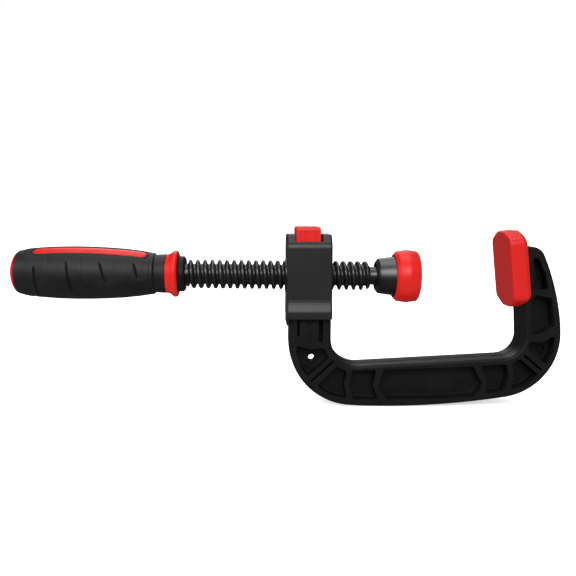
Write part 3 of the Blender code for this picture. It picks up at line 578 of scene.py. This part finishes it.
def make_frame():
    made = prism("clamp_frame", frame_outline(), -FRAME_T / 2, FRAME_T / 2, 'Y')
    bevel(made, FRAME_EDGE, 5, 50)
    boolean(made, prism("parting", frame_outline(PARTING_RISE), -PARTING_HALF, PARTING_HALF, 'Y'),
            'UNION')
    block = head_outline(BLOCK_HALF, BLOCK_TOP, COVER_RIDGE_HALF - 1.5, COVER_EAVE_Z - 1.4,
                         BLOCK_TAPER, FRAME_T / 2 - 0.2, SHOULDER_Z - 2)
    boolean(made, prism("block", block, BLOCK_LEFT, BLOCK_RIGHT, 'X'), 'UNION')
    for side in (-1, 1):
        boolean(made, pocket_tool(side))
        boolean(made, slot_tool(side))
    hole = arc((*WEB_HOLE, WEB_HOLE_R), 0, 2 * math.pi, 32)[:-1]
    boolean(made, prism("hole_tool", hole, -FRAME_T, FRAME_T, 'Y'))
    for side in (-1, 1):
        boolean(made, web_detail_tool(side))
        boolean(made, chamfer_tool(side))
    wide = (-ROOM_HALF, ROOM_HALF)
    boolean(made, box("nut_tool", NUT_ROOM, wide, (NUT_FLOOR, ROOM_TOP)))
    boolean(made, box("button_tool", (BUTTON_LEFT - 1, BUTTON_RIGHT + 1), wide,
                      (BUTTON_ROOM_FLOOR, ROOM_TOP)))
    well = arc((HEAD_X, 0.0, SPRING_WELL_R), 0, 2 * math.pi, 32)[:-1]
    boolean(made, prism("well_tool", well, SPRING_WELL_FLOOR, NUT_FLOOR + 1, 'Z'))
    boolean(made, bore_tool(BLOCK_BORE_R))
    left = COVER_LEFT - HEAD_X
    right = COVER_RIGHT - HEAD_X
    seat_end = COVER_WALL + 3
    boolean(made, bore_tool(BUSH_R + GAP, left - 1, left + seat_end))
    boolean(made, bore_tool(BUSH_R + GAP, right - seat_end, right + 1))
    bevel(made, CUT_EDGE, 2, 62, True)
    settle(made)
    return finish(made, "frame", NYLON, ["c_frame"], flatten=True)


def make_bosses():
    """A low rim round the web's hole and its larger dimple, on both sides of the web."""
    floor = FRAME_T / 2 - POCKET_DEPTH
    for number, centre in enumerate((WEB_HOLE, DIMPLES[0][:2])):
        for side, name in ((-1, "front"), (1, "back")):
            middle = Matrix.Translation((centre[0] * MM, side * floor * MM, centre[1] * MM))
            face = middle @ Matrix.Rotation(-side * math.pi / 2, 4, 'X')
            rim = turned(f"web_rim_{number}_{name}", RIM_PROFILE, 40, True, face)
            rim.data.materials.append(NYLON)
            settle(rim)
            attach(rim, "frame")


# ---------------------------------------------------------------- head

def make_cover():
    inner = head_outline(COVER_HALF - COVER_WALL, COVER_TOP - COVER_WALL,
                         COVER_RIDGE_HALF - 0.9, COVER_EAVE_Z - 0.9,
                         (COVER_TAPER[0] + 0.6, COVER_TAPER[1] + 0.2),
                         FRAME_T / 2 + GAP, COVER_BOTTOM - 9)
    flare = rounded(FLARE, [4.0] * len(FLARE), 4)[5:-5]
    right = rounded(((0, COVER_TOP), (COVER_RIDGE_HALF, COVER_TOP), (COVER_HALF, COVER_EAVE_Z),
                     FLARE[0]), (0, RIDGE_ROUND, EAVE_ROUND, 0), 8)[9:-9]
    right += [FLARE[0]] + flare + [(SKIRT_HALF, FLARE_FOOT), (SKIRT_HALF, COVER_BOTTOM)]
    outer = right + [(-y, z) for y, z in reversed(right)]
    made = prism("head_sleeve", outer, COVER_LEFT, COVER_RIGHT, 'X')
    bevel(made, COVER_END_EDGE, 5, 50)
    lip = box("lip", (COVER_LEFT, POST_LEFT), (-LIP_HALF, LIP_HALF),
              (LIP_BOTTOM, COVER_BOTTOM + 3))
    bevel(lip, 0.5, 3)
    boolean(made, lip, 'UNION')
    boolean(made, prism("room", inner, POST_LEFT - GAP, COVER_RIGHT - COVER_WALL, 'X'))
    boolean(made, box("slot", (SLOT_LEFT, SLOT_RIGHT), (-SLOT_HALF, SLOT_HALF),
                      (SLOT_FLOOR, ROOM_TOP)))
    boolean(made, bore_tool(BUSH_R + GAP))
    bevel(made, 0.22, 2, 62, True)
    settle(made)
    return finish(made, "frame", COVER_NYLON, ["head_cover"], flatten=True)


def make_bushes():
    left = COVER_LEFT - HEAD_X - BUSH_PROUD
    right = COVER_RIGHT - HEAD_X + BUSH_PROUD
    for side, low in (("left", left), ("right", right - BUSH_LENGTH)):
        high = low + BUSH_LENGTH
        profile = soften(((low, BUSH_BORE_R), (low, BUSH_R), (high, BUSH_R), (high, BUSH_BORE_R)),
                         0.35, 3, True)
        made = settle(turned(f"bush_{side}", profile, closed=True))
        finish(made, "frame", BLACK_STEEL, [f"guide_bush_{side}"])


def make_button():
    outline = rounded(((BUTTON_LEFT, BUTTON_UNDER), (BUTTON_RIGHT, BUTTON_UNDER),
                       (BUTTON_RIGHT, BUTTON_TOP), (BUTTON_LEFT, BUTTON_TOP)),
                      (0.6, 0.6, 2.2, 1.9), 8)
    made = prism("button", outline, -BUTTON_HALF, BUTTON_HALF, 'Y')
    edge = BUTTON_EDGE
    for flip in (-1, 1):
        side = [(BUTTON_HALF - edge, BUTTON_TOP + 1)]
        side += [(BUTTON_HALF - edge + edge * math.sin(a), BUTTON_TOP - edge + edge * math.cos(a))
                 for a in (math.pi / 2 * i / 8 for i in range(9))]
        side += [(BUTTON_HALF + 1, BUTTON_TOP - edge), (BUTTON_HALF + 1, BUTTON_TOP + 1)]
        boolean(made, prism("edge_tool", [(flip * y, z) for y, z in side],
                            BUTTON_LEFT - 1, BUTTON_RIGHT + 1, 'X'))
        wall = ((flip * STEM_HALF, BUTTON_UNDER - 1), (flip * BUTTON_CUT, BUTTON_UNDER - 1),
                (flip * BUTTON_CUT, STEM_TOP), (flip * STEM_HALF, STEM_TOP))
        boolean(made, prism("relief_tool", wall, BUTTON_LEFT - 1, BUTTON_RIGHT + 1, 'X'))
    length, width, top = LUG_ROOM
    boolean(made, box("lug_tool", (HEAD_X - length, HEAD_X + length), (-width, width),
                      (BUTTON_UNDER - 1, top)))
    hole = arc((HEAD_X, LINK_PIN_Z, LINK_PIN_HOLE_R), 0, 2 * math.pi, 24)[:-1]
    boolean(made, prism("pin_tool", hole, -ROOM_HALF, ROOM_HALF, 'Y'))
    for flip in (-1, 1):
        low, high = BUTTON_LEFT + PANEL_INSET, BUTTON_RIGHT - PANEL_INSET
        panel = rounded(((low, STEM_TOP), (high, STEM_TOP), (high, BUTTON_TOP - PANEL_TOP),
                         (low, BUTTON_TOP - PANEL_TOP)), 1.2, 5)
        boolean(made, prism("panel_tool", panel, flip * (BUTTON_HALF - PANEL_DEPTH),
                            flip * BUTTON_CUT, 'Y'))
    bevel(made, 0.45, 3, 55, True)
    settle(made, 35)
    return finish(made, "release", RED, ["release_button"], flatten=True)


# ---------------------------------------------------------------- screw

def thread_profile():
    """(along, radius) round one pitch: a root with filleted corners and a rounded crest."""
    flank = (PITCH - CREST_FLAT - ROOT_FLAT) / 2
    rise = THREAD_R - ROOT_R
    crest = ROOT_FLAT / 2 + flank + CREST_FLAT / 2
    half = [(0.0, ROOT_R), (ROOT_FLAT * 0.3, ROOT_R + 0.02), (ROOT_FLAT / 2 + 0.12, ROOT_R + 0.3),
            (ROOT_FLAT / 2 + flank * 0.45, ROOT_R + rise * 0.45),
            (ROOT_FLAT / 2 + flank * 0.82, ROOT_R + rise * 0.82),
            (crest - CREST_FLAT * 0.42, THREAD_R - 0.16), (crest - CREST_FLAT * 0.22, THREAD_R)]
    return half + [(PITCH - a, r) for a, r in reversed(half[1:])]


def make_spindle():
    """The thread as one helical sheet, squeezed to nothing at both ends so that it is closed."""
    profile = thread_profile()
    steps = 60
    bm = bmesh.new()
    first = math.floor((THREAD_FROM - THREAD_PHASE) / PITCH) - 2
    count = int((THREAD_TO - THREAD_FROM) / PITCH) + 5
    rows = []
    for k in range(steps):
        angle = 2 * math.pi * k / steps
        row = []
        for j in range(count * len(profile) + 1):
            along, radius = profile[j % len(profile)]
            z = THREAD_PHASE + PITCH * (first + j // len(profile) + k / steps) + along
            held = min(max(z, THREAD_FROM), THREAD_TO)
            # The crest fades into a chamfer at each end
            ease = min(1.0, 0.55 + 0.45 * min(held - THREAD_FROM, THREAD_TO - held) / 2.0)
            radius = min(radius, SHANK_R + (THREAD_R - SHANK_R) * ease)
            if held != z:
                radius = SHANK_R - 0.3
            row.append(bm.verts.new((radius * math.cos(angle), radius * math.sin(angle), held)))
        rows.append(row)
    shift = len(profile)
    total = count * shift
    for k in range(steps):
        jump = shift if k == steps - 1 else 0
        here = rows[k]
        there = rows[(k + 1) % steps]
        for j in range(total - jump):
            bm.faces.new((here[j], there[j + jump], there[j + jump + 1], here[j + 1]))
    bm.faces.new([row[0] for row in rows])
    bm.faces.new([row[-1] for row in rows])
    return place(bm, "screw", SCREW)


def make_rest_of_spindle():
    """The shank, and the neck with its ball, which the thread's two ends close on."""
    shank = soften(((SHANK_END, 0), (SHANK_END, SHANK_R), (THREAD_FROM + 0.4, SHANK_R),
                    (THREAD_FROM + 0.4, 0)), 0.3)
    meets = BALL_AT - math.sqrt(BALL_R ** 2 - NECK_R ** 2)
    start = math.acos((BALL_AT - meets) / BALL_R)
    ball = [(BALL_AT - BALL_R * math.cos(a), BALL_R * math.sin(a))
            for a in (start + (math.pi - start) * i / 20 for i in range(1, 20))]
    neck = [(THREAD_TO - 0.4, 0), (THREAD_TO - 0.4, NECK_R), (meets - 0.6, NECK_R),
            (meets, NECK_R + 0.15)] + ball + [(BALL_AT + BALL_R, 0)]
    return turned("shank", shank, 64), turned("neck", neck, 64)


def make_screw():
    made = make_spindle()
    shank, neck = make_rest_of_spindle()
    boolean(made, shank, 'UNION')
    boolean(made, neck, 'UNION')
    settle(made, 40)
    return finish(made, "screw", BLACK_STEEL, ["spindle"])


# ---------------------------------------------------------------- handle

def profile_radius(along):
    """The grip's radius, smoothed between the stations of its profile."""
    for (z0, r0), (z1, r1) in zip(GRIP_PROFILE, GRIP_PROFILE[1:]):
        if along <= z1:
            return r0 + (r1 - r0) * (along - z0) / (z1 - z0)
    return GRIP_PROFILE[-1][1]


def grip_radius(along):
    """The mean over a short stretch, except at the step by the neck, which stays crisp."""
    reach = min(2.0, max(0.0, abs(along - GRIP_STEP) - 0.9), max(0.0, along - DOME_AT))
    return sum(profile_radius(along + reach * k / 3) for k in range(-3, 4)) / 7


def turn_from(angle, middle):
    """The angle measured from another one, between half a turn back and half a turn on."""
    return (angle - middle + math.pi) % (2 * math.pi) - math.pi


def around(radius, angle, along):
    """A point round the screw. Local +X points down; the angle rises from the -Y side."""
    return (-radius * math.sin(angle), -radius * math.cos(angle), along)


def bell(distance, width):
    """1 at no distance, falling smoothly to 0 at the width."""
    if distance >= width:
        return 0.0
    return 0.5 + 0.5 * math.cos(math.pi * distance / width)


def stripe_distance(along, angle, mirrored):
    """How far a point of the grip lies outside the inlay's round-ended outline, in mm."""
    middle = STRIPE_ANGLE - (math.pi if mirrored else 0.0)
    across = turn_from(angle, middle) * grip_radius(along)
    past = max(0.0, abs(along - STRIPE_MID) - (STRIPE_LENGTH / 2 - STRIPE_HALF))
    return math.hypot(across, past) - STRIPE_HALF


def crease_depth(along, angle):
    """Diagonal creases on both broad sides, deepest in the middle of their run."""
    depth = 0.0
    for start, end, high, low in CREASES:
        for half_turn in (0.0, math.pi):
            turn = turn_from(angle, half_turn)
            share = (math.radians(high) - turn) / math.radians(high - low)
            if -0.15 < share < 1.15:
                ends = bell(max(0.0, abs(share - 0.5) - 0.35), 0.3)
                middle = start + (end - start) * share
                depth += CREASE_DEPTH * ends * bell(abs(along - middle), CREASE_HALF)
                behind = along - middle
                if 0.0 < behind < CREASE_FADE:
                    depth += CREASE_STEP * ends * (1 - behind / CREASE_FADE)
    return depth


def grip_point(along, angle):
    radius = grip_radius(along)
    for mirrored in (False, True):
        gap = stripe_distance(along, angle, mirrored)
        if 0.0 <= gap < BORDER_WIDTH:
            radius += BORDER_HEIGHT * bell(abs(gap - BORDER_WIDTH / 2), BORDER_WIDTH / 2)
        elif -0.3 < gap < 0.0:
            radius -= 0.2
        elif gap <= -0.3:
            radius -= INLAY_BED
    if stripe_distance(along, angle, False) > 3 and stripe_distance(along, angle, True) > 3:
        radius -= crease_depth(along, angle)
        for line in FAINT_LINES:
            radius -= FAINT_LINE_DEPTH * bell(abs(along - line), FAINT_LINE_HALF)
        for notch_at, facing, width in NOTCHES:
            turn = turn_from(angle, math.radians(facing))
            radius -= NOTCH_DEPTH * bell(abs(turn), 0.6) * bell(abs(along - notch_at), width)
    return radius


def make_grip():
    """A sleeve whose outer surface carries the creases, the inlays' beds and their borders."""
    sides = 240
    length = GRIP_TO - DOME_AT
    rings = 330
    bm = bmesh.new()
    rows = []
    for i in range(rings + 1):
        along = DOME_AT + length * i / rings
        row = []
        for k in range(sides):
            angle = 2 * math.pi * k / sides
            row.append(bm.verts.new(around(grip_point(along, angle), angle, along)))
        rows.append(row)
    bore = [[bm.verts.new(around(GRIP_BORE_R, 2 * math.pi * k / sides, z)) for k in range(sides)]
            for z in (DOME_AT, GRIP_TO)]
    loops = [bore[0]] + rows + [bore[1], bore[0]]
    for lower, upper in zip(loops, loops[1:]):
        for k in range(sides):
            bm.faces.new((lower[k - 1], lower[k], upper[k], upper[k - 1]))
    made = place(bm, "grip", SCREW)
    settle(made, 50)
    return finish(made, "screw", GRIP, ["handle_grip"])


def make_inlay(name, mirrored):
    """A crowned strip with round ends that fills its bed in the grip."""
    rings = 120
    across = 14
    half_length = STRIPE_LENGTH / 2
    middle = STRIPE_ANGLE - (math.pi if mirrored else 0.0)
    bm = bmesh.new()
    sheets = []
    for lift in (0.0, INLAY_UNDER):
        sheet = []
        for i in range(rings + 1):
            # Rows crowd towards the round ends
            offset = -half_length * math.cos(math.pi * i / rings)
            past = max(0.0, abs(offset) - (half_length - STRIPE_HALF))
            half = math.sqrt(max(0.0, STRIPE_HALF ** 2 - past ** 2))
            along = STRIPE_MID + offset
            base = grip_radius(along)
            row = []
            for k in range(across + 1):
                side = 2 * k / across - 1
                edge = STRIPE_HALF - math.hypot(side * half, past)
                rise = -0.35 * bell(edge, 1.0) if lift == 0.0 else lift
                radius = base + INLAY_PROUD + rise
                angle = middle + side * half / base
                row.append(bm.verts.new(around(radius, angle, along)))
            sheet.append(row)
        sheets.append(sheet)
    top, bottom = sheets
    for i in range(rings):
        for k in range(across):
            for sheet in sheets:
                bm.faces.new((sheet[i][k], sheet[i][k + 1], sheet[i + 1][k + 1], sheet[i + 1][k]))
        for k in (0, across):
            bm.faces.new((top[i][k], top[i + 1][k], bottom[i + 1][k], bottom[i][k]))
    bmesh.ops.dissolve_degenerate(bm, edges=bm.edges, dist=0.0005)
    made = place(bm, name, SCREW)
    close_ends(made)
    settle(made, 60)
    node = "inlay_back" if mirrored else "inlay_front"
    return finish(made, "screw", INLAY, [node])


def close_ends(made):
    """Fills the slits that are left where the strip's ends come to a point."""
    bm = bmesh.new()
    bm.from_mesh(made.data)
    slits = [edge for edge in bm.edges if edge.is_boundary]
    if slits:
        bmesh.ops.holes_fill(bm, edges=slits, sides=0)
    bmesh.ops.recalc_face_normals(bm, faces=bm.faces)
    bm.to_mesh(made.data)
    bm.free()


def make_handle_rings():
    stem_end = DOME_AT + CAP_STEM_LENGTH
    cap = list(CAP_PROFILE) + [(DOME_AT - GAP, CAP_STEM_R), (stem_end, CAP_STEM_R), (stem_end, 0)]
    finish(settle(turned("cap", cap), 45), "screw", RED_MATT, ["end_cap"])

    bore = SHANK_R + GAP
    flange = [(FLANGE_FROM, bore), (FLANGE_FROM, 13.1), (FLANGE_FROM + 0.3, 13.4)]
    flange += list(FLANGE_PROFILE) + [(FLANGE_TO, 12.0), (FLANGE_TO, bore)]
    finish(settle(turned("flange", flange, closed=True), 45), "screw", RED, ["handle_flange"])

    low = FLANGE_TO + GAP
    collar = soften(((low, bore), (low, COLLAR_R), (COLLAR_TO - 1.1, COLLAR_R),
                     (COLLAR_TO, COLLAR_R - 1.1), (COLLAR_TO, bore)), 0.3, 3, True)
    finish(settle(turned("collar", collar, closed=True)), "screw", COLLAR_BLACK,
           ["handle_collar"])


# ---------------------------------------------------------------- jaws

def make_swivel():
    mouth_at = BALL_AT - math.sqrt(CUP_CAVITY_R ** 2 - CUP_MOUTH_R ** 2)
    first = math.acos((BALL_AT - mouth_at) / CUP_CAVITY_R)
    cavity = [(BALL_AT - CUP_CAVITY_R * math.cos(a), CUP_CAVITY_R * math.sin(a))
              for a in (math.pi - (math.pi - first) * i / 24 for i in range(25))]
    cavity[0] = (BALL_AT + CUP_CAVITY_R, 0)
    outside = [(CUP_FROM + 0.3, CUP_MOUTH_R), (CUP_FROM, CUP_MOUTH_R + 0.3)]
    outside += [(CUP_FROM, 9.7), (CUP_FROM + 0.1, 9.95), (CUP_FROM + 1.5, 11.75),
                (CUP_FROM + 1.75, 11.98), (CUP_FROM + 2.1, CUP_SMALL_R)]
    outside += [(PAD_BACK, CUP_LARGE_R - 0.15), (CUP_FLANGE_FROM, CUP_LARGE_R),
                (CUP_FLANGE_FROM, CUP_FLANGE_R), (CUP_FLANGE_TO, CUP_FLANGE_R),
                (CUP_FLANGE_TO, CUP_LARGE_R), (CUP_NOSE, 11.0), (CUP_NOSE, 0)]
    finish(settle(turned("cup", cavity + outside)), "swivel", HARD_BLACK, ["swivel_cup"])

    seat_r = CUP_LARGE_R + GAP
    inside = [(CUP_NOSE + GAP, 0), (CUP_NOSE + GAP, 11.0), (CUP_FLANGE_TO + GAP, seat_r),
              (CUP_FLANGE_TO + GAP, CUP_FLANGE_R + GAP),
              (CUP_FLANGE_FROM - GAP, CUP_FLANGE_R + GAP), (CUP_FLANGE_FROM - GAP, seat_r),
              (PAD_BACK + 1.0, seat_r), (PAD_BACK + 0.8, 14.5), (PAD_BACK, 14.6)]
    swell = [(PAD_BACK + 0.02, 14.9), (PAD_BACK + 0.2, 15.2), (PAD_BACK + 0.4, 15.45),
             (PAD_BACK + 1.8, 16.85), (PAD_BACK + 2.1, 17.1), (PAD_BACK + 2.5, 17.27),
             (PAD_BACK + 7.6, 18.05), (PAD_BACK + 8.3, 18.13), (PAD_BACK + 9.0, 18.13),
             (PAD_BACK + 9.7, 18.05), (PAD_BACK + 14.9, 17.3)]
    front = arc((PAD_FRONT - 1.1, 16.15, 1.1), math.radians(75), 0.0, 8)
    finish(settle(turned("round_pad", inside + swell + front + [(PAD_FRONT, 0)])), "swivel", RED,
           ["swivel_pad"])


def make_jaw_pad():
    """Drawn upright, with the face in the plane X = 0 and the back at X = JAW_T."""
    top = JAW_HALF_H
    side = JAW_HALF_W
    corners = [(side, top - JAW_CHAMFER_H), (side - JAW_CHAMFER_W, top)]
    upper = corners + [(-y, z) for y, z in reversed(corners)]
    outline = rounded(upper + [(-y, -z) for y, z in upper], JAW_CORNER_ROUND, 8)
    made = prism("jaw_pad", outline, 0.0, JAW_T - JAW_LIP_T, 'X', LEAN)
    bevel(made, JAW_FACE_EDGE, 5, 50)
    inset = [(y * 0.93, z * 0.95) for y, z in outline]
    shoulder = prism("shoulder", inset, JAW_T / 2, JAW_T, 'X', LEAN)
    bevel(shoulder, 0.4, 2, 50)
    boolean(made, shoulder, 'UNION')
    # The top corner at the back is rounded right off, and the bottom one less
    profile = rounded(((-2.0, -top - 1), (JAW_T + 0.01, -top - 1), (JAW_T + 0.01, top + 0.01),
                       (-2.0, top + 0.01)), (0.01, 3.4, 5.2, 0.01), 8)
    boolean(made, prism("back_round", profile, -side - 2, side + 2, 'Y', LEAN), 'INTERSECT')
    arm = FRAME_T / 2 + GAP
    top_z = (ARM_TIP[1] + ARM_TIP[2]) / math.cos(JAW_LEAN) + 0.6
    boolean(made, box("arm_seat", (JAW_SEAT, JAW_T + 5), (-arm, arm), (-top - 9, top_z), LEAN))
    settle(made, 32)
    return finish(made, "frame", RED_MATT, ["fixed_jaw_pad"], flatten=True)


def dress_inner_pieces():
    """The CAD nodes that stay get materials of the same family."""
    paints = {"half_nut": ZINC, "link_pin": ZINC, "return_spring": ZINC, "handle_core": HARD_BLACK,
              "handle_pin": ZINC, "retaining_ring": ZINC, "socket_insert": HARD_BLACK}
    for node, dress in paints.items():
        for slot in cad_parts[node].material_slots:
            slot.material = dress


# ---------------------------------------------------------------- stage, light and camera

def make_stage():
    bm = bmesh.new()
    bmesh.ops.create_grid(bm, x_segments=1, y_segments=1, size=4000.0)
    floor = place(bm, "floor", Matrix.Translation((0.0, 0.0, CAD_BOX[0][2] - 0.0004)))
    pale = bpy.data.materials.new("floor")
    pale.use_nodes = True
    shader = pale.node_tree.nodes["Principled BSDF"]
    shader.inputs["Base Color"].default_value = (0.86, 0.86, 0.86, 1.0)
    shader.inputs["Roughness"].default_value = 0.9
    shader.inputs["Specular IOR Level"].default_value = 0.1
    # The floor reads as plain white without throwing more light back at the undersides
    path = pale.node_tree.nodes.new("ShaderNodeLightPath")
    pale.node_tree.links.new(path.outputs["Is Camera Ray"], shader.inputs["Emission Strength"])
    shader.inputs["Emission Color"].default_value = (0.55, 0.55, 0.55, 1.0)
    floor.data.materials.append(pale)
    # The dark pieces don't mirror the bright floor
    floor.visible_glossy = False


def sun(name, strength, spread, lean, heading):
    """A lamp this many degrees wide, leaning this far from overhead towards -Y.

    The heading then turns it about Z, in degrees.
    """
    data = bpy.data.lights.new(name, 'SUN')
    data.energy = strength
    data.angle = math.radians(spread)
    lamp = bpy.data.objects.new(name, data)
    lamp.rotation_euler = (math.radians(lean), 0.0, math.radians(heading))
    bpy.context.scene.collection.objects.link(lamp)


def make_lights():
    """A white backdrop that lights the piece only weakly, and four broad lamps."""
    world = bpy.data.worlds.new("studio")
    bpy.context.scene.world = world
    world.use_nodes = True
    nodes = world.node_tree.nodes
    links = world.node_tree.links
    backdrop = nodes["Background"]
    backdrop.inputs["Color"].default_value = (1.0, 1.0, 1.0, 1.0)
    backdrop.inputs["Strength"].default_value = 1.0
    fill = nodes.new("ShaderNodeBackground")
    fill.inputs["Color"].default_value = (1.0, 1.0, 1.0, 1.0)
    fill.inputs["Strength"].default_value = 0.13
    path = nodes.new("ShaderNodeLightPath")
    choose = nodes.new("ShaderNodeMixShader")
    links.new(path.outputs["Is Camera Ray"], choose.inputs["Fac"])
    links.new(fill.outputs["Background"], choose.inputs[1])
    links.new(backdrop.outputs["Background"], choose.inputs[2])
    links.new(choose.outputs["Shader"], nodes["World Output"].inputs["Surface"])
    sun("overhead", 1.9, 44, 0, 0)
    sun("front_key", 3.1, 34, 60, -4)
    sun("side_fill", 1.35, 24, 66, -66)
    sun("rim_light", 0.8, 40, -50, 0)


def make_camera():
    data = bpy.data.cameras.new("camera")
    data.sensor_width = 36.0
    data.lens = 40.94
    data.shift_x = 0.052
    data.clip_start = 0.01
    camera = bpy.data.objects.new("camera", data)
    camera.location = (-0.1685, -0.4502, 0.0363)
    camera.rotation_euler = (math.radians(83.727), 0.0, 0.0)
    bpy.context.scene.collection.objects.link(camera)
    bpy.context.scene.camera = camera


make_frame()
make_bosses()
make_cover()
make_bushes()
make_button()
make_screw()
make_grip()
make_inlay("inlay_strip_front", False)
make_inlay("inlay_strip_back", True)
make_handle_rings()
make_swivel()
make_jaw_pad()
dress_inner_pieces()
make_stage()
make_lights()
make_camera()
bpy.context.scene.view_settings.view_transform = 'Standard'

bpy.context.view_layer.update()
